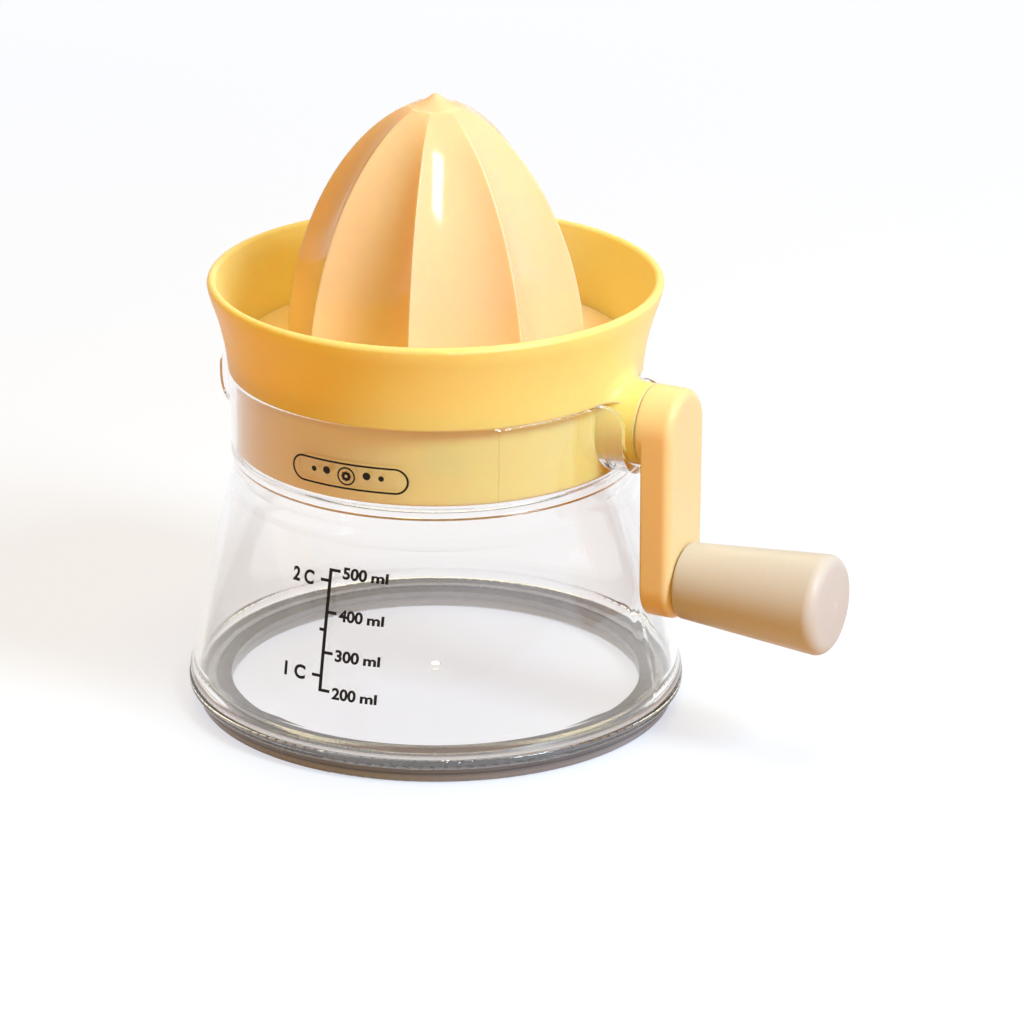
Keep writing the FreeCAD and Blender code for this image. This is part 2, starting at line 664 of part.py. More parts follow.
# ---------------------------------------------------------------- spindle and crank shaft
def make_spindle(pin_hole):
    foot_z = case_bottom - seat_gap - cover_bore_depth + thrust_gap
    foot_top = case_bottom + bush_flange
    foot = rod_z(spindle_foot_radius, foot_z, foot_top)
    stem = rod_z(spindle_radius, foot_top, hex_z)
    collar_z = neck_top + bush_flange + thrust_gap
    collar = rod_z(spindle_collar_radius, collar_z, hex_z)
    head = polygon_prism(6, drive_hex, V(0, 0, hex_z), Z_AXIS, drive_hex_height)
    head_top = hex_z + drive_hex_height
    head = head.common(turned(outline((0, hex_z), (drive_hex, hex_z), (drive_hex, head_top - drive_hex / 2),
                                      (drive_hex * 0.45, head_top), (0, head_top))))
    keep("drive_spindle", foot.fuse([stem, collar, head]).cut(pin_hole))


def make_crank(pin_hole):
    shaft_start = pinion_pitch_radius + 2.4
    socket_end = arm_x + arm_socket_depth
    shaft = rod_x(shaft_radius, shaft_start, arm_x - hub_thickness + 0.2)
    square = polygon_prism(4, shaft_square, V(arm_x - hub_thickness, 0, shaft_z), X_AXIS,
                           arm_socket_depth + hub_thickness - 0.1, 45)
    square = square.common(rod_x(shaft_radius, arm_x - hub_thickness, socket_end))
    keep("crank_shaft", shaft.fuse(square).cut(pin_hole))

    lean = math.asin((arm_top_radius - arm_end_radius) / crank_throw)
    top_y = arm_top_radius * math.cos(lean)
    top_z = shaft_z + arm_top_radius * math.sin(lean)
    end_y = arm_end_radius * math.cos(lean)
    end_z = grip_axis_z + arm_end_radius * math.sin(lean)
    plate = face_of(
        outline((-top_y, top_z), ((0, shaft_z + arm_top_radius), (top_y, top_z)), (end_y, end_z),
                ((0, grip_axis_z - arm_end_radius), (-end_y, end_z))),
        lambda y, z: V(arm_x, y, z)).extrude(X_AXIS * arm_thickness)
    plate = rounded(plate, arm_edge, lambda box: box.XMin > arm_x + arm_thickness - 0.01)
    hub = rod_x(arm_top_radius, arm_x - hub_thickness, arm_x + 0.01)
    socket = polygon_prism(4, shaft_square + 2 * press_fit, V(arm_x - hub_thickness - 1, 0, shaft_z), X_AXIS,
                           hub_thickness + 1 + arm_socket_depth, 45)
    socket = socket.common(rod_x(shaft_radius + press_fit, arm_x - hub_thickness - 1, socket_end + 1))
    axle_hole = rod_x(axle_radius + press_fit, grip_x - axle_seat_depth, grip_x + 1, z=grip_axis_z)
    mouth = rod_x(shaft_radius + press_fit, arm_x - hub_thickness - 1, arm_x - hub_thickness + 0.2)
    keep("crank_arm", plate.fuse(hub).cut([socket, axle_hole, mouth]))


# ---------------------------------------------------------------- grip
def make_grip():
    start = grip_x + loose_fit
    end = grip_x + grip_length
    hollow_end = end - grip_wall_end
    head_x = hollow_end - axle_head_length - 1.0
    axle = rod_x(axle_radius, grip_x - axle_seat_depth, head_x, z=grip_axis_z)
    head = rod_x(axle_head_radius, head_x, head_x + axle_head_length, z=grip_axis_z)
    keep("grip_axle", axle.fuse(head))

    def at(points):
        return turned(points, x_axis=True, height=grip_axis_z)
    edge = grip_end_edge
    corner = edge * (1 - math.sqrt(0.5))
    taper = (grip_end_radius - grip_base_radius) / grip_length
    shoulder = grip_end_radius - taper * edge
    base_corner = grip_base_edge * (1 - math.sqrt(0.5))
    body = at(outline(
        (start, 0), (start, grip_base_radius - grip_base_edge),
        ((start + base_corner, grip_base_radius - base_corner),
         (start + grip_base_edge, grip_base_radius + taper * grip_base_edge)),
        (end - edge - grip_crown, shoulder),
        ((end - grip_crown - corner, shoulder - corner), (end - grip_crown, shoulder - edge)),
        (cap_middle(end, shoulder - edge, grip_crown), (end, 0))))
    bore = rod_x(axle_head_radius + run_fit, start, hollow_end, z=grip_axis_z)
    seat = rod_x(retainer_radius + press_fit, start - 1, start + retainer_length, z=grip_axis_z)
    keep("grip_sleeve", body.cut([bore, seat]))
    retainer = rod_x(retainer_radius, start, start + retainer_length, z=grip_axis_z)
    retainer = retainer.cut(rod_x(axle_radius + run_fit, start - 1, start + retainer_length + 1, z=grip_axis_z))
    keep("grip_retainer", retainer)


# ---------------------------------------------------------------- reamer
def ridge_radius(z):
    t = min(1.0, max(0.0, (z - reamer_z) / reamer_height))
    return reamer_radius * (1 - t ** outline_power) ** outline_root


def flute_radius(z):
    t = (z - reamer_z) / reamer_height
    return ridge_radius(z) * (1 - flute_depth * (1 - t ** flute_fade))


def fluted_section(z):
    """Closed wire of concave arcs from ridge to ridge."""
    step = 360 / ridge_count
    arcs = []
    for i in range(ridge_count):
        angle = ridge_start + i * step
        arcs.append(Part.Arc(polar(ridge_radius(z), angle, z), polar(flute_radius(z), angle + step / 2, z),
                             polar(ridge_radius(z), angle + step, z)).toShape())
    return Part.Wire(arcs)


def make_reamer():
    shares = (0.0, 0.12, 0.26, 0.40, 0.54, 0.67, 0.78, 0.87, 0.935, tip_share)
    levels = [reamer_z + reamer_height * share for share in shares]
    dome = Part.makeLoft([fluted_section(z) for z in levels], True, False)
    top = levels[-1]
    tip_top = reamer_z + reamer_height + tip_rise
    tip_low = tip_top - tip_radius / 2
    foot_r = flute_radius(top) - 0.05
    cap_z, cap_r = cap_middle(tip_top, tip_radius, tip_radius / 2)
    tip = turned(outline(
        (0, top - 2.0), (foot_r, top - 2.0), (foot_r, top),
        (((foot_r + tip_radius) / 2 - 0.2, (top + tip_low) / 2 - 0.2), (tip_radius, tip_low)),
        ((cap_r, cap_z), (0, tip_top))))
    dome = dome.fuse(tip)

    inner = []
    for share in (0.0, 0.25, 0.5, 0.7, 0.84):
        z = reamer_z + reamer_height * share
        inner.append((flute_radius(z) - reamer_wall * (1 + 0.4 * share), z))
    cavity = turned(outline(
        (0, inner[0][1] - 1), (inner[0][0], inner[0][1] - 1), inner[0], (inner[1], inner[2]), (inner[3], inner[4]),
        (0, inner[4][1])))
    socket_z = hex_z + 0.1
    stem = rod_z(socket_radius, socket_z, inner[4][1] + 2)
    ribs = []
    for i in range(ridge_count // 2):
        rib = block(0, reamer_radius, -reamer_rib_thickness / 2, reamer_rib_thickness / 2,
                    socket_z + socket_depth, inner[4][1] + 2)
        ribs.append(spun(rib, ridge_start + i * 720 / ridge_count))
    inside = cavity.common(stem.fuse(ribs))
    socket = polygon_prism(6, drive_hex + loose_fit, V(0, 0, socket_z - 1), Z_AXIS, socket_depth + 1)
    body = dome.cut(cavity).fuse(inside).cut(socket)
    keep("reamer_cone", body)


make_jug()
make_bowl()
make_gear_case()
make_cover()
make_bushes()
make_strainer()
crown_pin_hole, pinion_pin_hole = make_gears()
make_spindle(crown_pin_hole)
make_crank(pinion_pin_hole)
make_grip()
make_reamer()

os.makedirs("parts", exist_ok=True)
for name, shape in parts.items():
    box = shape.BoundBox
    print(f"{name:22s} solids {len(shape.Solids)} valid {shape.isValid()} volume {shape.Volume:10.1f} "
          f"x {box.XMin:7.2f} {box.XMax:7.2f} y {box.YMin:7.2f} {box.YMax:7.2f} z {box.ZMin:7.2f} {box.ZMax:7.2f}")
    shape.exportStep(f"parts/{name}.step")
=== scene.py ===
import json
import math

import bpy
from mathutils import Matrix, Vector


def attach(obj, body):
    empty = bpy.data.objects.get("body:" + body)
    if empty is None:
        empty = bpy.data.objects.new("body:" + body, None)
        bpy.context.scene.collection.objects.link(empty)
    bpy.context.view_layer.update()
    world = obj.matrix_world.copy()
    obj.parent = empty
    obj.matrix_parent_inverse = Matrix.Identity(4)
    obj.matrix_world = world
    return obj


# Hand-cranked citrus juicer. Sizes are in metres; colours are linear.

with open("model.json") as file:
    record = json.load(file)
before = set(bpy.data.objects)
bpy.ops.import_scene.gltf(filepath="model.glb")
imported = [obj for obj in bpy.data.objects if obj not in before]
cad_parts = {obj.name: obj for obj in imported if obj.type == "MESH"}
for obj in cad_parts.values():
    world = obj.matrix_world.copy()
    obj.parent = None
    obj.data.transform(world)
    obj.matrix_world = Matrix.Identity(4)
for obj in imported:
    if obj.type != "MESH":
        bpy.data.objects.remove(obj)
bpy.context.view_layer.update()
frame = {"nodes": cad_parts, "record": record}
nodes = frame["nodes"]
print("frame loaded:", len(nodes), "nodes")


# Shader node helpers. Those named add put a node in the tree and return what comes out of it.

def newGroup(name, inputs, outputs):
    group = bpy.data.node_groups.new(name, "ShaderNodeTree")
    for label, kind, value in inputs:
        socket = group.interface.new_socket(name=label, in_out="INPUT", socket_type="NodeSocket" + kind)
        if value is not None:
            socket.default_value = value
    for label, kind in outputs:
        group.interface.new_socket(name=label, in_out="OUTPUT", socket_type="NodeSocket" + kind)
    return group, group.nodes.new("NodeGroupInput"), group.nodes.new("NodeGroupOutput")


def addMath(tree, operation, first, second=None, third=None):
    part = tree.nodes.new("ShaderNodeMath")
    part.operation = operation
    for slot, value in enumerate((first, second, third)):
        if value is None:
            continue
        if isinstance(value, (int, float)):
            part.inputs[slot].default_value = value
        else:
            tree.links.new(value, part.inputs[slot])
    return part.outputs[0]


def addRange(tree, value, low, high, outLow=0.0, outHigh=1.0):
    part = tree.nodes.new("ShaderNodeMapRange")
    part.inputs["From Min"].default_value = low
    part.inputs["From Max"].default_value = high
    part.inputs["To Min"].default_value = outLow
    part.inputs["To Max"].default_value = outHigh
    tree.links.new(value, part.inputs["Value"])
    return part.outputs["Result"]


def addNoise(tree, place, scale, detail, roughness, distortion=0.0):
    part = tree.nodes.new("ShaderNodeTexNoise")
    part.inputs["Detail"].default_value = detail
    part.inputs["Roughness"].default_value = roughness
    part.inputs["Distortion"].default_value = distortion
    tree.links.new(place, part.inputs["Vector"])
    if isinstance(scale, (int, float)):
        part.inputs["Scale"].default_value = scale
    else:
        tree.links.new(scale, part.inputs["Scale"])
    return part.outputs["Fac"]


def addStretch(tree, place, turn, scale):
    part = tree.nodes.new("ShaderNodeMapping")
    part.inputs["Rotation"].default_value = turn
    part.inputs["Scale"].default_value = scale
    tree.links.new(place, part.inputs["Vector"])
    return part.outputs["Vector"]


def addDot(tree, first, second):
    part = tree.nodes.new("ShaderNodeVectorMath")
    part.operation = "DOT_PRODUCT"
    tree.links.new(first, part.inputs[0])
    tree.links.new(second, part.inputs[1])
    return part.outputs["Value"]


def addHeight(tree, vector):
    part = tree.nodes.new("ShaderNodeSeparateXYZ")
    tree.links.new(vector, part.inputs["Vector"])
    return part.outputs["Z"]


def addColourMix(tree, factor, first, second):
    part = tree.nodes.new("ShaderNodeMix")
    part.data_type = "RGBA"
    for socket, value in ((part.inputs["Factor"], factor), (part.inputs[6], first), (part.inputs[7], second)):
        if isinstance(value, (int, float)):
            socket.default_value = value
        elif isinstance(value, tuple):
            socket.default_value = (*value, 1.0)
        else:
            tree.links.new(value, socket)
    return part.outputs[2]


# first shader where the factor is 0 and second where it is 1, joined to the tree's end
def blendShaders(tree, factor, first, second, end="Material Output"):
    part = tree.nodes.new("ShaderNodeMixShader")
    tree.links.new(factor, part.inputs["Fac"])
    tree.links.new(first, part.inputs[1])
    tree.links.new(second, part.inputs[2])
    tree.links.new(part.outputs["Shader"], tree.nodes[end].inputs["Surface"])


def setSockets(part, values):
    for label, value in values.items():
        socket = part.inputs[label]
        socket.default_value = (*value, 1.0) if socket.type == "RGBA" else value


# Camera, light and floor.

viewSettings = {
    "place": (0.60722, -1.18543, 0.55527), "aim": (0.017869, 0.009153, 0.050249), "roll": 0.004488,
    "lens": 189.84, "sensor": 36.0,  # both in millimetres
    "farthest": 30.0,
}


def addCamera(settings):
    bpy.ops.object.camera_add()
    camera = bpy.context.object
    place = Vector(settings["place"])
    turn = (Vector(settings["aim"]) - place).to_track_quat("-Z", "Y").to_matrix().to_4x4()
    camera.matrix_world = Matrix.Translation(place) @ turn @ Matrix.Rotation(settings["roll"], 4, "Z")
    camera.data.lens = settings["lens"]
    camera.data.sensor_width = settings["sensor"]
    camera.data.clip_end = settings["farthest"]
    bpy.context.scene.camera = camera


lampAim = (0.0, 0.0, 0.08)
lampSettings = {  # with gleam False a lamp gives light and leaves no highlight
    "key": {"place": (1.08, -0.22, 0.95), "size": (0.32, 0.60), "power": 19.4, "colour": (0.72, 0.875, 1.0)},
    "front": {"place": (0.22, -1.25, 1.05), "size": (0.30, 0.30), "power": 2.9, "colour": (1.0, 0.87, 0.10),
              "gleam": False},
    "strip": {"place": (-0.50, -1.10, 0.90), "size": (0.10, 0.85), "power": 0.6, "colour": (1.0, 0.48, 0.12)},
    "warm": {"place": (-1.0, -0.45, 0.30), "size": (1.0, 0.8), "power": 0.8, "colour": (1.0, 0.43, 0.06)},
    "top": {"place": (0.15, -0.05, 1.40), "size": (0.6, 0.6), "power": 6.3, "colour": (1.0, 0.87, 0.38),
            "gleam": False},
    "spark": {"place": (0.17, -0.30, 1.38), "size": (0.05, 0.05), "power": 0.20, "colour": (1.0, 0.98, 0.95)},
    "back": {"place": (-0.45, 1.00, 1.0), "size": (0.6, 0.6), "power": 3.4, "colour": (1.0, 0.90, 0.45)},
}


def addLamps(settings):
    for name, lamp in settings.items():
        bpy.ops.object.light_add(type="AREA", location=lamp["place"])
        light = bpy.context.object
        light.name = name + "Lamp"
        light.rotation_euler = (Vector(lampAim) - Vector(lamp["place"])).to_track_quat("-Z", "Y").to_euler()
        light.data.shape = "RECTANGLE"
        light.data.size, light.data.size_y = lamp["size"]
        light.data.energy = lamp["power"]
        light.data.color = lamp["colour"]
        light.visible_glossy = lamp.get("gleam", True)


# 1 for rays from the camera, in gloss and through the jug, and 0 for rays that light a face
def addAnyRay(tree, rays):
    glossOrCamera = addMath(tree, "MAXIMUM", rays.outputs["Is Camera Ray"], rays.outputs["Is Glossy Ray"])
    return addMath(tree, "MAXIMUM", glossOrCamera, rays.outputs["Is Transmission Ray"])


worldSettings = {
    "shade": (1.0, 0.31, 0.06), "shadeStrength": 0.35,  # lights the object
    "seen": (1.0, 1.0, 1.0), "seenStrength": 1.0,  # is what the camera, gloss and the jug show
    "dim": 0.3,  # how much darker the room is in a reflection
}


def addWorld(settings):
    world = bpy.data.worlds.new("studio")
    bpy.context.scene.world = world
    world.use_nodes = True
    tree = world.node_tree
    shade = tree.nodes["Background"]
    setSockets(shade, {"Color": settings["shade"], "Strength": settings["shadeStrength"]})
    seen = tree.nodes.new("ShaderNodeBackground")
    setSockets(seen, {"Color": settings["seen"]})
    rays = tree.nodes.new("ShaderNodeLightPath")
    gloss = addMath(tree, "SUBTRACT", rays.outputs["Is Glossy Ray"], rays.outputs["Is Transmission Ray"])
    gloss = addMath(tree, "MAXIMUM", gloss, 0.0)
    dimmed = addMath(tree, "MULTIPLY_ADD", gloss, -settings["dim"], settings["seenStrength"])
    tree.links.new(dimmed, seen.inputs["Strength"])
    blendShaders(tree, addAnyRay(tree, rays), shade.outputs["Background"], seen.outputs["Background"], "World Output")


floorSettings = {
    "half": 3.0, "drop": 0.0002, "roughness": 0.6,
    "bounce": (0.64, 0.35, 0.09),  # colour for light on its way to the object
    "seen": (0.84, 0.93, 1.0),  # colour under the lamps
    "plain": (0.85, 0.90, 1.0), "plainStrength": 1.19,  # look that the lamps leave alone
    "pale": 0.6, "fade": (0.25, 1.3),  # share of plain by the object, and the distances over which it grows to all
}


# pale floor that sends warm light up, and looks plain to the camera, in gloss and through the jug
def addFloor(settings):
    bpy.ops.object.select_all(action="DESELECT")
    bpy.ops.mesh.primitive_plane_add(size=2 * settings["half"], location=(0, 0, -settings["drop"]))
    floor = bpy.context.object
    floor.name = "paleFloor"
    material = bpy.data.materials.new("paleFloor")
    material.use_nodes = True
    tree = material.node_tree
    shader = tree.nodes["Principled BSDF"]
    setSockets(shader, {"Roughness": settings["roughness"]})
    rays = tree.nodes.new("ShaderNodeLightPath")
    tone = addColourMix(tree, rays.outputs["Is Diffuse Ray"], settings["seen"], settings["bounce"])
    tree.links.new(tone, shader.inputs["Base Color"])
    plain = tree.nodes.new("ShaderNodeEmission")
    setSockets(plain, {"Color": settings["plain"], "Strength": settings["plainStrength"]})
    away = tree.nodes.new("ShaderNodeVectorMath")
    away.operation = "LENGTH"
    tree.links.new(tree.nodes.new("ShaderNodeTexCoord").outputs["Object"], away.inputs[0])
    share = addRange(tree, away.outputs["Value"], *settings["fade"], settings["pale"], 1.0)
    share = addMath(tree, "MULTIPLY", addAnyRay(tree, rays), share)
    blendShaders(tree, share, shader.outputs["BSDF"], plain.outputs["Emission"])
    floor.data.materials.append(material)


addCamera(viewSettings)
addLamps(lampSettings)
addWorld(worldSettings)
addFloor(floorSettings)
bpy.context.scene.view_settings.view_transform = "Standard"
print("camera, lamps and floor set")


# Effects shared by the materials.

skinSettings = {
    "peelScale": 1400.0, "peel": {"detail": 3.0, "roughness": 0.55},
    "waves": {"scale": 55.0, "detail": 1.0, "roughness": 0.4, "distortion": 0.6},
    "patches": {"scale": 38.0, "detail": 4.0, "roughness": 0.6, "distortion": 0.8}, "patchRange": (0.32, 0.68),
}


# skin of moulded plastic: fine peel, slow sink waves, and a mask for patches of gloss
def buildMouldSkin(look):
    group, start, end = newGroup(
        "mouldSkin",
        [("Place", "Vector", None), ("Peel Scale", "Float", look["peelScale"]), ("Peel", "Float", 0.5),
         ("Waves", "Float", 0.5)],
        [("Height", "Float"), ("Gloss Mask", "Float")])
    place = start.outputs["Place"]
    peel = addNoise(group, place, start.outputs["Peel Scale"], **look["peel"])
    waves = addNoise(group, place, **look["waves"])
    patches = addNoise(group, place, **look["patches"])
    height = addMath(group, "MULTIPLY", peel, start.outputs["Peel"])
    height = addMath(group, "MULTIPLY_ADD", waves, start.outputs["Waves"], height)
    group.links.new(height, end.inputs["Height"])
    group.links.new(addRange(group, patches, *look["patchRange"]), end.inputs["Gloss Mask"])
    return group


flowSettings = {
    "scale": 24.0, "turn": (0.0, 0.0, 0.5), "stretch": (1.0, 1.0, 0.35),
    "swirl": {"detail": 4.0, "roughness": 0.6, "distortion": 1.6}, "swirlRange": (0.36, 0.66),
    "specks": {"scale": 900.0, "detail": 2.0, "roughness": 0.5}, "speckRange": (0.35, 0.75), "speckShare": 0.22,
}


# pigment that is a little deeper along the flow of the melt
def buildPigmentFlow(look):
    group, start, end = newGroup(
        "pigmentFlow",
        [("Place", "Vector", None), ("Colour", "Color", (0.8, 0.8, 0.8, 1.0)),
         ("Deep Colour", "Color", (0.7, 0.7, 0.7, 1.0)), ("Scale", "Float", look["scale"]), ("Amount", "Float", 0.5)],
        [("Colour", "Color")])
    place = start.outputs["Place"]
    streaks = addStretch(group, place, look["turn"], look["stretch"])
    swirl = addNoise(group, streaks, start.outputs["Scale"], **look["swirl"])
    specks = addRange(group, addNoise(group, place, **look["specks"]), *look["speckRange"])
    mask = addRange(group, swirl, *look["swirlRange"])
    mask = addMath(group, "MULTIPLY_ADD", specks, look["speckShare"], mask)
    mask = addMath(group, "MULTIPLY", mask, start.outputs["Amount"])
    mask = addMath(group, "MINIMUM", mask, 1.0)
    group.links.new(addColourMix(group, mask, start.outputs["Colour"], start.outputs["Deep Colour"]),
                    end.inputs["Colour"])
    return group


wearSettings = {
    "ways": [{"turn": (0.4, 0.2, 0.7), "scale": (900.0, 34.0, 40.0)},
             {"turn": (1.1, 0.5, -0.6), "scale": (40.0, 760.0, 36.0)}],
    "lines": {"scale": 1.0, "detail": 1.0, "roughness": 0.5}, "lineWidth": 0.016,
    "breaks": {"scale": 130.0, "detail": 3.0, "roughness": 0.6}, "breakRange": (0.52, 0.66),
    "dust": {"scale": 620.0, "detail": 5.0, "roughness": 0.7}, "dustRange": (0.50, 0.74),
    "facingUp": (0.35, 0.95),  # height of a normal at which dust starts to lie, and at which it all lies
}


# hairline scratches two ways, and dust on faces that look up
def buildHandlingWear(look):
    group, start, end = newGroup(
        "handlingWear",
        [("Place", "Vector", None), ("Scratches", "Float", 0.5), ("Dust", "Float", 0.3)],
        [("Scratch Mask", "Float"), ("Dust Mask", "Float")])
    place = start.outputs["Place"]
    scratches = []
    for way in look["ways"]:
        noise = addNoise(group, addStretch(group, place, way["turn"], way["scale"]), **look["lines"])
        away = addMath(group, "ABSOLUTE", addMath(group, "SUBTRACT", noise, 0.5))  # from the noise's middle value
        scratches.append(addRange(group, away, look["lineWidth"], 0.0))
    lines = addMath(group, "MAXIMUM", *scratches)
    breaks = addRange(group, addNoise(group, place, **look["breaks"]), *look["breakRange"])
    lines = addMath(group, "MULTIPLY", addMath(group, "MULTIPLY", lines, breaks), start.outputs["Scratches"])
    group.links.new(lines, end.inputs["Scratch Mask"])
    facing = group.nodes.new("ShaderNodeNewGeometry")
    up = addRange(group, addHeight(group, facing.outputs["Normal"]), *look["facingUp"])
    dust = addRange(group, addNoise(group, place, **look["dust"]), *look["dustRange"])
    dust = addMath(group, "MULTIPLY", addMath(group, "MULTIPLY", dust, up), start.outputs["Dust"])
    group.links.new(dust, end.inputs["Dust Mask"])
    return group


edgeSettings = {
    "radius": 0.0008, "samples": 6, "turnRange": (0.995, 0.90),  # likeness of the two normals, off and on an edge
    "noise": {"scale": 240.0, "detail": 3.0, "roughness": 0.6}, "noiseRange": (0.35, 0.65), "breakUp": 0.4,
}


# rounded-off arrises: the softened normal, and a mask for them that noise breaks up, where a lighter colour is
# painted as a painted highlight
def buildEdgeHighlight(look):
    group, start, end = newGroup(
        "edgeHighlight",
        [("Place", "Vector", None), ("Break Up", "Float", look["breakUp"]), ("Amount", "Float", 0.5)],
        [("Mask", "Float"), ("Rounded", "Vector")])
    softened = group.nodes.new("ShaderNodeBevel")
    softened.samples = look["samples"]
    softened.inputs["Radius"].default_value = look["radius"]
    group.links.new(softened.outputs["Normal"], end.inputs["Rounded"])
    facing = group.nodes.new("ShaderNodeNewGeometry")
    likeness = addDot(group, softened.outputs["Normal"], facing.outputs["Normal"])
    edge = addRange(group, likeness, *look["turnRange"])
    noise = addRange(group, addNoise(group, start.outputs["Place"], **look["noise"]), *look["noiseRange"])
    broken = addMath(group, "SUBTRACT", 1.0, addMath(group, "MULTIPLY", noise, start.outputs["Break Up"]))
    edge = addMath(group, "MULTIPLY", addMath(group, "MULTIPLY", edge, broken), start.outputs["Amount"])
    group.links.new(edge, end.inputs["Mask"])
    return group


lineSettings = {"core": 0.35}  # share of the line's width that is at full strength


# Thin line that a mould's parting plane leaves, where place . direction is near the offset; on the foot rubber it
# masks bands of painted light and painted shade. It stays below the top and on the side where place . side is
# positive.
def buildPartingLineAndPaintedBand(look):
    group, start, end = newGroup(
        "partingLineAndPaintedBand",
        [("Place", "Vector", None), ("Direction", "Vector", (1.0, 0.0, 0.0)), ("Offset", "Float", 0.0),
         ("Half Width", "Float", 0.0001), ("Side", "Vector", (0.0, 0.0, 1.0)), ("Top", "Float", 1.0)],
        [("Mask", "Float")])
    place = start.outputs["Place"]
    across = addDot(group, place, start.outputs["Direction"])
    along = addDot(group, place, start.outputs["Side"])
    away = addMath(group, "ABSOLUTE", addMath(group, "SUBTRACT", across, start.outputs["Offset"]))
    line = addRange(group, addMath(group, "DIVIDE", away, start.outputs["Half Width"]), 1.0, look["core"])
    line = addMath(group, "MULTIPLY", line, addMath(group, "GREATER_THAN", along, 0.0))
    below = addMath(group, "LESS_THAN", addHeight(group, place), start.outputs["Top"])
    group.links.new(addMath(group, "MULTIPLY", line, below), end.inputs["Mask"])
    return group


mouldSkin = buildMouldSkin(skinSettings)
pigmentFlow = buildPigmentFlow(flowSettings)
handlingWear = buildHandlingWear(wearSettings)
edgeHighlight = buildEdgeHighlight(edgeSettings)
partingLineAndPaintedBand = buildPartingLineAndPaintedBand(lineSettings)
print("shared effects built")


# Materials.

def newMaterial(name):
    material = bpy.data.materials.new(name)
    material.use_nodes = True
    tree = material.node_tree
    place = tree.nodes.new("ShaderNodeTexCoord").outputs["Object"]
    return material, tree, tree.nodes["Principled BSDF"], place


def addEffect(tree, group, place, **values):
    part = tree.nodes.new("ShaderNodeGroup")
    part.node_tree = group
    tree.links.new(place, part.inputs["Place"])
    setSockets(part, {label.replace("_", " "): value for label, value in values.items()})
    return part


# rough between two limits by a mask, and rougher by each mark's share
def addRoughness(tree, mask, limits, *marks):
    rough = addRange(tree, mask, 0.0, 1.0, *limits)
    for mark, share in marks:
        rough = addMath(tree, "MULTIPLY_ADD", mark, share, rough)
    return rough


def addBump(tree, shader, height, distance, base=None):
    bump = tree.nodes.new("ShaderNodeBump")
    if base is not None:
        tree.links.new(base, bump.inputs["Normal"])
    bump.inputs["Distance"].default_value = distance
    tree.links.new(height, bump.inputs["Height"])
    tree.links.new(bump.outputs["Normal"], shader.inputs["Normal"])


def setGlow(shader, weight, radius, depth):
    setSockets(shader, {"Subsurface Weight": weight, "Subsurface Radius": radius, "Subsurface Scale": depth})


# what all the moulded plastics have in common
mouldingSettings = {
    "dustColour": (0.86, 0.84, 0.80), "scratchRough": 0.35, "dustRough": 0.5,
    "scatter": (1.0, 0.42, 0.12), "ior": 1.49, "relief": 0.00003,
    "lineShare": 0.7, "lineDark": 0.72, "lineRise": 1.5,
}
# paintedHighlight is the lighter colour of the painted highlight along the arrises, and edge is its share
plasticSettings = {
    "bowlPlastic": {
        "colour": (0.975, 0.825, 0.325), "deep": (0.945, 0.765, 0.27), "paintedHighlight": (1.0, 0.96, 0.80), "flow": 0.35,
        "gloss": 0.20, "roughness": (0.28, 0.36), "peel": 0.15, "waves": 0.35,
        "scratches": 0.05, "dust": 0.05, "edge": 0.85, "glow": 0.6, "depth": 0.009,
        "lines": [{"Direction": (0.7071, 0.7071, 0.0), "Offset": 0.0, "Half_Width": 0.00013,
                   "Side": (0.7071, -0.7071, 0.0), "Top": 0.0923}]},
    "reamerPlastic": {
        "colour": (0.92, 0.70, 0.435), "deep": (0.89, 0.64, 0.37), "paintedHighlight": (0.98, 0.91, 0.76), "flow": 0.35,
        "gloss": 0.32, "roughness": (0.09, 0.15), "peel": 0.15, "waves": 0.45,
        "scratches": 0.05, "dust": 0.03, "edge": 0.9, "glow": 0.5, "depth": 0.006},
    "crankPlastic": {
        "colour": (0.935, 0.745, 0.415), "deep": (0.905, 0.68, 0.35), "paintedHighlight": (1.0, 0.84, 0.58), "flow": 0.35,
        "gloss": 0.32, "roughness": (0.28, 0.38), "peel": 0.45, "waves": 0.35,
        "scratches": 0.08, "dust": 0.05, "edge": 0.40, "glow": 0.35, "depth": 0.006},
    "gripPlastic": {
        "colour": (0.625, 0.625, 0.63), "deep": (0.59, 0.58, 0.575), "paintedHighlight": (0.74, 0.74, 0.74), "flow": 0.35,
        "gloss": 0.36, "roughness": (0.34, 0.44), "peel": 0.60, "waves": 0.3,
        "scratches": 0.10, "dust": 0.04, "edge": 0.30, "glow": 0.25, "depth": 0.004},
    "gearPlastic": {
        "colour": (0.80, 0.79, 0.74), "deep": (0.72, 0.71, 0.65), "paintedHighlight": (0.88, 0.88, 0.85), "flow": 0.35,
        "gloss": 0.5, "roughness": (0.34, 0.46), "peel": 0.6, "waves": 0.3,
        "scratches": 0.4, "dust": 0.0, "edge": 0.4, "glow": 0.2, "depth": 0.003},
    "bushPlastic": {
        "colour": (0.70, 0.68, 0.60), "deep": (0.62, 0.60, 0.52), "paintedHighlight": (0.78, 0.77, 0.71), "flow": 0.4,
        "gloss": 0.5, "roughness": (0.38, 0.50), "peel": 0.6, "waves": 0.3,
        "scratches": 0.4, "dust": 0.0, "edge": 0.4, "glow": 0.15, "depth": 0.003},
}


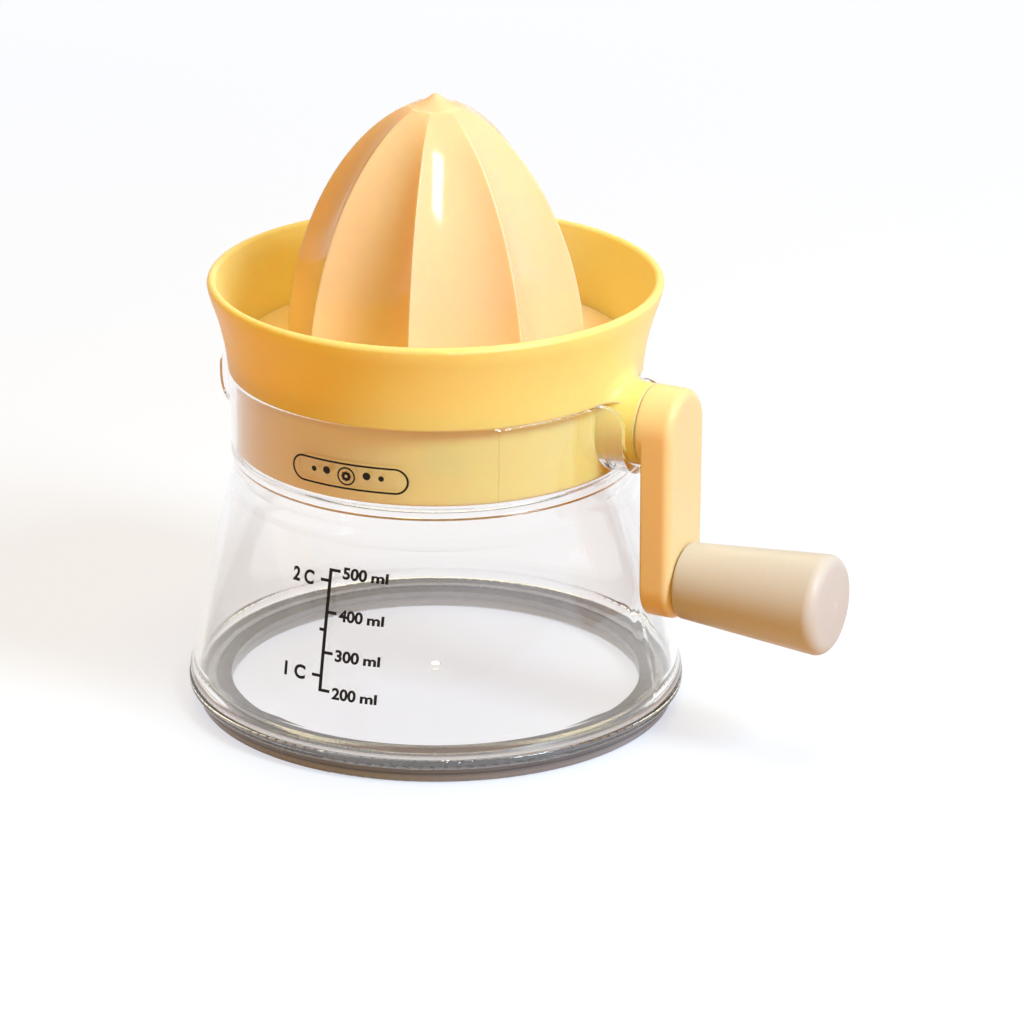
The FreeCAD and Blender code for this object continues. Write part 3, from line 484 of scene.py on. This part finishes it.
def mouldedPlastic(name, look, moulding):
    material, tree, shader, place = newMaterial(name)
    flow = addEffect(tree, pigmentFlow, place, Colour=look["colour"], Deep_Colour=look["deep"], Amount=look["flow"])
    skin = addEffect(tree, mouldSkin, place, Peel=look["peel"], Waves=look["waves"])
    wear = addEffect(tree, handlingWear, place, Scratches=look["scratches"], Dust=look["dust"])
    edges = addEffect(tree, edgeHighlight, place, Amount=look["edge"])
    # painted highlight: the arrises get a lighter colour
    colour = addColourMix(tree, edges.outputs["Mask"], flow.outputs["Colour"], look["paintedHighlight"])
    colour = addColourMix(tree, wear.outputs["Dust Mask"], colour, moulding["dustColour"])
    height = skin.outputs["Height"]
    for line in look.get("lines", []):
        mask = addEffect(tree, partingLineAndPaintedBand, place, **line).outputs["Mask"]
        dark = tuple(moulding["lineDark"] * part for part in look["deep"])
        colour = addColourMix(tree, addMath(tree, "MULTIPLY", mask, moulding["lineShare"]), colour, dark)
        height = addMath(tree, "MULTIPLY_ADD", mask, moulding["lineRise"], height)
    tree.links.new(colour, shader.inputs["Base Color"])
    rough = addRoughness(tree, skin.outputs["Gloss Mask"], look["roughness"],
                         (wear.outputs["Scratch Mask"], moulding["scratchRough"]),
                         (wear.outputs["Dust Mask"], moulding["dustRough"]))
    tree.links.new(addMath(tree, "MINIMUM", rough, 1.0), shader.inputs["Roughness"])
    setGlow(shader, look["glow"], moulding["scatter"], look["depth"])
    setSockets(shader, {"IOR": moulding["ior"], "Specular IOR Level": look["gloss"]})
    addBump(tree, shader, height, moulding["relief"], base=edges.outputs["Rounded"])
    return material


clearSettings = {
    "tint": (0.968, 0.957, 0.953), "roughness": (0.012, 0.045), "ior": 1.50, "gloss": 0.38,
    "peel": 0.03, "waves": 0.9, "relief": 0.000006, "scratches": 0.35, "scratchRough": 0.16,
    "shadow": (0.965, 0.96, 0.95), "bounces": 8.5, "gleams": 2.5,  # past so many bounces a ray goes straight on
}


# polished clear plastic; light passes it on its way to what is behind
def clearPlastic(name, look):
    material, tree, shader, place = newMaterial(name)
    skin = addEffect(tree, mouldSkin, place, Peel=look["peel"], Waves=look["waves"])
    wear = addEffect(tree, handlingWear, place, Scratches=look["scratches"], Dust=0.0)
    rough = addRoughness(tree, skin.outputs["Gloss Mask"], look["roughness"],
                         (wear.outputs["Scratch Mask"], look["scratchRough"]))
    tree.links.new(rough, shader.inputs["Roughness"])
    setSockets(shader, {"Base Color": look["tint"], "Transmission Weight": 1.0, "IOR": look["ior"],
                        "Specular IOR Level": look["gloss"]})
    addBump(tree, shader, skin.outputs["Height"], look["relief"])
    rays = tree.nodes.new("ShaderNodeLightPath")
    through = tree.nodes.new("ShaderNodeBsdfTransparent")
    setSockets(through, {"Color": look["shadow"]})
    inside = addMath(tree, "GREATER_THAN", rays.outputs["Glossy Depth"], look["gleams"])
    deep = addMath(tree, "GREATER_THAN", rays.outputs["Ray Depth"], look["bounces"])
    late = addMath(tree, "MAXIMUM", rays.outputs["Is Shadow Ray"], addMath(tree, "MAXIMUM", inside, deep))
    late = addMath(tree, "MAXIMUM", late, rays.outputs["Is Diffuse Ray"])
    blendShaders(tree, late, shader.outputs["BSDF"], through.outputs["BSDF"])
    return material


# what both rubbers have in common
rubberMaking = {
    "flow": 0.6, "peelScale": 2200.0, "waves": 0.2, "scratches": 0.4, "dustColour": (0.62, 0.60, 0.57),
    "scratchRough": 0.2, "scatter": (1.0, 0.9, 0.85), "depth": 0.003, "relief": 0.00004, "lineShare": 0.6,
}
rubberSettings = {
    "footRubber": {
        "colour": (0.165, 0.178, 0.228), "deep": (0.13, 0.14, 0.185), "roughness": (0.24, 0.36),
        "peel": 0.6, "glow": 0.25, "dust": 0.15,
        # painted light: a lighter band along the bottom lip; painted shade: a dark line in the groove above it, which
        # also sinks
        "lines": [{"level": 0.0010, "halfWidth": 0.0015, "tone": (0.38, 0.41, 0.50), "rise": 0.0},
                  {"level": 0.0027, "halfWidth": 0.00035, "tone": (0.07, 0.065, 0.07), "rise": -6.0}]},
    "sealRubber": {
        "colour": (0.024, 0.024, 0.026), "deep": (0.016, 0.016, 0.018), "roughness": (0.50, 0.68),
        "peel": 1.2, "glow": 0.0, "dust": 0.3, "lines": []},
}


def softRubber(name, look, making):
    material, tree, shader, place = newMaterial(name)
    flow = addEffect(tree, pigmentFlow, place, Colour=look["colour"], Deep_Colour=look["deep"], Amount=making["flow"])
    skin = addEffect(tree, mouldSkin, place, Peel=look["peel"], Peel_Scale=making["peelScale"], Waves=making["waves"])
    wear = addEffect(tree, handlingWear, place, Scratches=making["scratches"], Dust=look["dust"])
    colour = addColourMix(tree, wear.outputs["Dust Mask"], flow.outputs["Colour"], making["dustColour"])
    height = skin.outputs["Height"]
    # painted light and painted shade: bands of the foot made lighter and darker at given heights
    for line in look["lines"]:
        mask = addEffect(tree, partingLineAndPaintedBand, place, Direction=(0.0, 0.0, 1.0), Offset=line["level"],
                         Half_Width=line["halfWidth"], Side=(0.0, 0.0, 1.0)).outputs["Mask"]
        colour = addColourMix(tree, addMath(tree, "MULTIPLY", mask, making["lineShare"]), colour, line["tone"])
        height = addMath(tree, "MULTIPLY_ADD", mask, line["rise"], height)
    tree.links.new(colour, shader.inputs["Base Color"])
    rough = addRoughness(tree, skin.outputs["Gloss Mask"], look["roughness"],
                         (wear.outputs["Scratch Mask"], making["scratchRough"]))
    tree.links.new(rough, shader.inputs["Roughness"])
    setGlow(shader, look["glow"], making["scatter"], making["depth"])
    addBump(tree, shader, height, making["relief"])
    return material


steelSettings = {
    "colour": (0.58, 0.58, 0.60), "deep": (0.46, 0.46, 0.48), "paintedHighlight": (0.80, 0.80, 0.81), "roughness": (0.22, 0.38),
    "flowScale": 180.0, "flow": 0.5, "scratches": 0.9, "scratchRough": 0.2, "edge": 0.6, "relief": 0.000008,
    "ringScale": (60.0, 60.0, 5200.0), "rings": {"scale": 1.0, "detail": 2.0, "roughness": 0.6},
    "ringRange": (0.3, 0.7),
}


def turnedSteel(name, look):
    material, tree, shader, place = newMaterial(name)
    flow = addEffect(tree, pigmentFlow, place, Colour=look["colour"], Deep_Colour=look["deep"],
                     Scale=look["flowScale"], Amount=look["flow"])
    wear = addEffect(tree, handlingWear, place, Scratches=look["scratches"], Dust=0.0)
    edges = addEffect(tree, edgeHighlight, place, Amount=look["edge"])
    # painted highlight: the arrises get a lighter colour
    colour = addColourMix(tree, edges.outputs["Mask"], flow.outputs["Colour"], look["paintedHighlight"])
    tree.links.new(colour, shader.inputs["Base Color"])
    rings = addNoise(tree, addStretch(tree, place, (0.0, 0.0, 0.0), look["ringScale"]), **look["rings"])
    rough = addRoughness(tree, addRange(tree, rings, *look["ringRange"]), look["roughness"],
                         (wear.outputs["Scratch Mask"], look["scratchRough"]))
    tree.links.new(rough, shader.inputs["Roughness"])
    setSockets(shader, {"Metallic": 1.0})
    addBump(tree, shader, rings, look["relief"])
    return material


inkSettings = {
    "colour": (0.010, 0.008, 0.008), "deep": (0.022, 0.018, 0.016), "roughness": (0.34, 0.52), "gloss": 0.15,
    "flowScale": 400.0, "flow": 0.5, "peel": 0.8, "waves": 0.1, "relief": 0.00001,
}


def padInk(name, look):
    material, tree, shader, place = newMaterial(name)
    flow = addEffect(tree, pigmentFlow, place, Colour=look["colour"], Deep_Colour=look["deep"],
                     Scale=look["flowScale"], Amount=look["flow"])
    skin = addEffect(tree, mouldSkin, place, Peel=look["peel"], Waves=look["waves"])
    tree.links.new(flow.outputs["Colour"], shader.inputs["Base Color"])
    tree.links.new(addRoughness(tree, skin.outputs["Gloss Mask"], look["roughness"]), shader.inputs["Roughness"])
    setSockets(shader, {"Specular IOR Level": look["gloss"]})
    addBump(tree, shader, skin.outputs["Height"], look["relief"])
    return material


finishes = {"clear_plastic": clearPlastic("clearPlastic", clearSettings)}
finishes["foot_rubber"] = softRubber("footRubber", rubberSettings["footRubber"], rubberMaking)
for part in ("bowl", "reamer", "crank", "grip", "gear", "bush"):
    name = part + "Plastic"
    finishes[part + "_plastic"] = mouldedPlastic(name, plasticSettings[name], mouldingSettings)
finishes["seal_rubber"] = softRubber("sealRubber", rubberSettings["sealRubber"], rubberMaking)
finishes["steel"] = turnedSteel("turnedSteel", steelSettings)
blackInk = padInk("blackInk", inkSettings)
slotOf = {part["node"]: part["material_slot"] for part in frame["record"]["subparts"]}
for name, node in nodes.items():
    for slot in node.material_slots:
        slot.material = finishes[slotOf[name]]
print("materials set")


# Prints on the jug. Each is drawn flat on a plane in front of the jug, pressed on to the wall and made a film.

inkFilm = {
    "start": -0.075, "lift": 0.00008, "thickness": 0.00004, "step": 0.0014,
    "bold": 0.035, "curveSteps": 6,  # of the figures
}


def pickOnly(piece):
    bpy.ops.object.select_all(action="DESELECT")
    piece.select_set(True)
    bpy.context.view_layer.objects.active = piece


# leaves the piece in edit mode with the vertices selected whose place passes the test
def pickVertices(piece, test):
    bpy.ops.object.mode_set(mode="EDIT")
    bpy.ops.mesh.select_mode(type="VERT")
    bpy.ops.mesh.select_all(action="DESELECT")
    bpy.ops.object.mode_set(mode="OBJECT")
    for vertex in piece.data.vertices:
        vertex.select = test(vertex.co)
    bpy.ops.object.mode_set(mode="EDIT")


def span(piece, axis):
    places = [vertex.co[axis] for vertex in piece.data.vertices]
    return min(places), max(places)


def joinPieces(pieces, name):
    pickOnly(pieces[0])
    for piece in pieces:
        piece.select_set(True)
    bpy.ops.object.join()
    joined = bpy.context.object
    joined.name = name
    return joined


def addBar(x0, x1, z0, z1):
    bpy.ops.object.select_all(action="DESELECT")
    bpy.ops.mesh.primitive_plane_add(size=1.0, location=((x0 + x1) / 2, inkFilm["start"], (z0 + z1) / 2),
                                     rotation=(math.pi / 2, 0, 0))
    bar = bpy.context.object
    bar.scale = (x1 - x0, z1 - z0, 1.0)
    bpy.ops.object.transform_apply(location=True, rotation=True, scale=True)
    return bar


def addFigures(words, z, size):
    bpy.ops.object.select_all(action="DESELECT")
    bpy.ops.object.text_add(location=(0, 0, 0))
    text = bpy.context.object
    text.data.body = words
    text.data.offset = inkFilm["bold"]
    text.data.resolution_u = inkFilm["curveSteps"]
    bpy.ops.object.convert(target="MESH")
    left, right = span(text, 0)
    bottom, top = span(text, 1)
    wide, tall = size["width"] / (right - left), size["height"] / (top - bottom)
    text.scale = (wide, tall, 1.0)
    text.rotation_euler = (math.pi / 2, 0, 0)
    text.location = (size["left"] - left * wide, inkFilm["start"], z - size["drop"] - (bottom + top) / 2 * tall)
    bpy.ops.object.transform_apply(location=True, rotation=True, scale=True)
    return text


# cuts a flat print into a fine grid, so that it can follow the round wall
def cutAcross(piece, step):
    pickOnly(piece)
    spans = {axis: span(piece, axis) for axis in (0, 2)}
    bpy.ops.object.mode_set(mode="EDIT")
    for axis, (low, high) in spans.items():
        normal = Vector([float(i == axis) for i in range(3)])
        for i in range(1, math.ceil((high - low) / step)):
            bpy.ops.mesh.select_all(action="SELECT")
            bpy.ops.mesh.bisect(plane_co=(low + i * step) * normal, plane_no=normal)
    bpy.ops.mesh.select_all(action="SELECT")
    bpy.ops.mesh.quads_convert_to_tris()
    bpy.ops.object.mode_set(mode="OBJECT")


def printOn(piece, node, body):
    pickOnly(piece)
    wrap = piece.modifiers.new("wrap", "SHRINKWRAP")
    wrap.target = nodes[node]
    wrap.wrap_method = "PROJECT"
    wrap.use_project_y = True
    wrap.use_positive_direction = True
    wrap.use_negative_direction = False
    bpy.ops.object.modifier_apply(modifier="wrap")
    film = piece.modifiers.new("film", "SOLIDIFY")
    film.thickness = inkFilm["thickness"]
    film.offset = 1.0
    bpy.ops.object.modifier_apply(modifier="film")
    for vertex in piece.data.vertices:  # clear of the wall by a hair
        away = Vector((vertex.co.x, vertex.co.y, 0)).normalized()
        vertex.co += away * inkFilm["lift"]
    piece.data.materials.clear()
    piece.data.materials.append(blackInk)
    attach(piece, body)


scaleMarks = {
    "lineX": -0.00135, "lineWidth": 0.00092, "low": 0.0221, "high": 0.0536,
    "rightTick": 0.00275, "leftTick": 0.0027, "shortTick": 0.0017, "tickWidth": 0.00078,
    "right": [("500", 0.0533), ("400", 0.0425), ("300", 0.0322), ("200", 0.0223)],
    "left": [("2 C", 0.0504), ("1 C", 0.0261)],
    "middle": 0.0379,
    "figures": {"left": 0.0021, "width": 0.0066, "height": 0.0031, "drop": 0.0003},
    "unit": {"left": 0.00985, "width": 0.0044, "height": 0.0026, "drop": 0.0005},
    "cups": {"left": -0.0126, "width": 0.0065, "height": 0.0037, "drop": 0.0001},
}


def addScale(marks):
    half = marks["lineWidth"] / 2
    thin = marks["tickWidth"] / 2
    x = marks["lineX"]
    pieces = [addBar(x - half, x + half, marks["low"], marks["high"])]
    for words, z in marks["right"]:
        z = min(max(z, marks["low"] + thin), marks["high"] - thin)
        pieces.append(addBar(x + half, x + marks["rightTick"], z - thin, z + thin))
        pieces.append(addFigures(words, z, marks["figures"]))
        pieces.append(addFigures("ml", z, marks["unit"]))
    for words, z in marks["left"]:
        pieces.append(addBar(x - marks["leftTick"], x - half, z - thin, z + thin))
        pieces.append(addFigures(words, z, marks["cups"]))
    pieces.append(addBar(x - marks["shortTick"], x - half, marks["middle"] - thin, marks["middle"] + thin))
    scale = joinPieces(pieces, "volumeScale")
    cutAcross(scale, inkFilm["step"])
    printOn(scale, "jug_shell", "jug")


badgeMarks = {
    "x": 0.0019, "z": 0.0784, "width": 0.0326, "height": 0.0072, "line": 0.00052,
    "wheel": 0.0025, "rind": 0.00042,
    "petals": 8, "petalRadius": 0.000468, "petalOut": 0.00088,
    "dots": [{"out": 0.0056, "rise": 0.000745, "radius": 0.00105},
             {"out": 0.0094, "rise": 0.0004615, "radius": 0.000735}],
    "ringSides": 48, "discSides": 16,
}


def addDisc(x, z, radius, sides):
    bpy.ops.object.select_all(action="DESELECT")
    bpy.ops.mesh.primitive_circle_add(vertices=sides, radius=radius, fill_type="NGON",
                                      location=(x, inkFilm["start"], z), rotation=(math.pi / 2, 0, 0))
    bpy.ops.object.transform_apply(location=True, rotation=True, scale=True)
    return bpy.context.object


# circle's outline, drawn apart sideways by the spread
def addRing(x, z, radius, line, sides, spread=0.0):
    ring = addDisc(x, z, radius, sides)
    middle = x + 1e-6  # the vertices in the middle count as left
    if spread:
        pickVertices(ring, lambda place: place.x > middle)
        bpy.ops.transform.translate(value=(spread, 0, 0))
        pickVertices(ring, lambda place: place.x < middle)
        bpy.ops.transform.translate(value=(-spread, 0, 0))
        bpy.ops.object.mode_set(mode="OBJECT")
    bpy.ops.object.mode_set(mode="EDIT")
    bpy.ops.mesh.select_mode(type="FACE")
    bpy.ops.mesh.select_all(action="SELECT")
    bpy.ops.mesh.inset(thickness=line)
    bpy.ops.mesh.delete(type="FACE")
    bpy.ops.object.mode_set(mode="OBJECT")
    return ring


# cut fruit between four dots, in a rounded frame
def addBadge(marks):
    x, z = marks["x"], marks["z"]
    radius = marks["height"] / 2
    pieces = [addRing(x, z, radius, marks["line"], marks["ringSides"], marks["width"] / 2 - radius),
              addRing(x, z, marks["wheel"], marks["rind"], marks["ringSides"])]
    for i in range(marks["petals"]):
        turn = 2 * math.pi * i / marks["petals"]
        pieces.append(addDisc(x + marks["petalOut"] * math.sin(turn), z + marks["petalOut"] * math.cos(turn),
                              marks["petalRadius"], marks["discSides"]))
    for dot in marks["dots"]:
        for side in (1, -1):
            pieces.append(addDisc(x + side * dot["out"], z + dot["rise"], dot["radius"], marks["discSides"]))
    badge = joinPieces(pieces, "plainBadge")
    cutAcross(badge, inkFilm["step"])
    printOn(badge, "jug_shell", "jug")


addScale(scaleMarks)
addBadge(badgeMarks)
print("prints added")
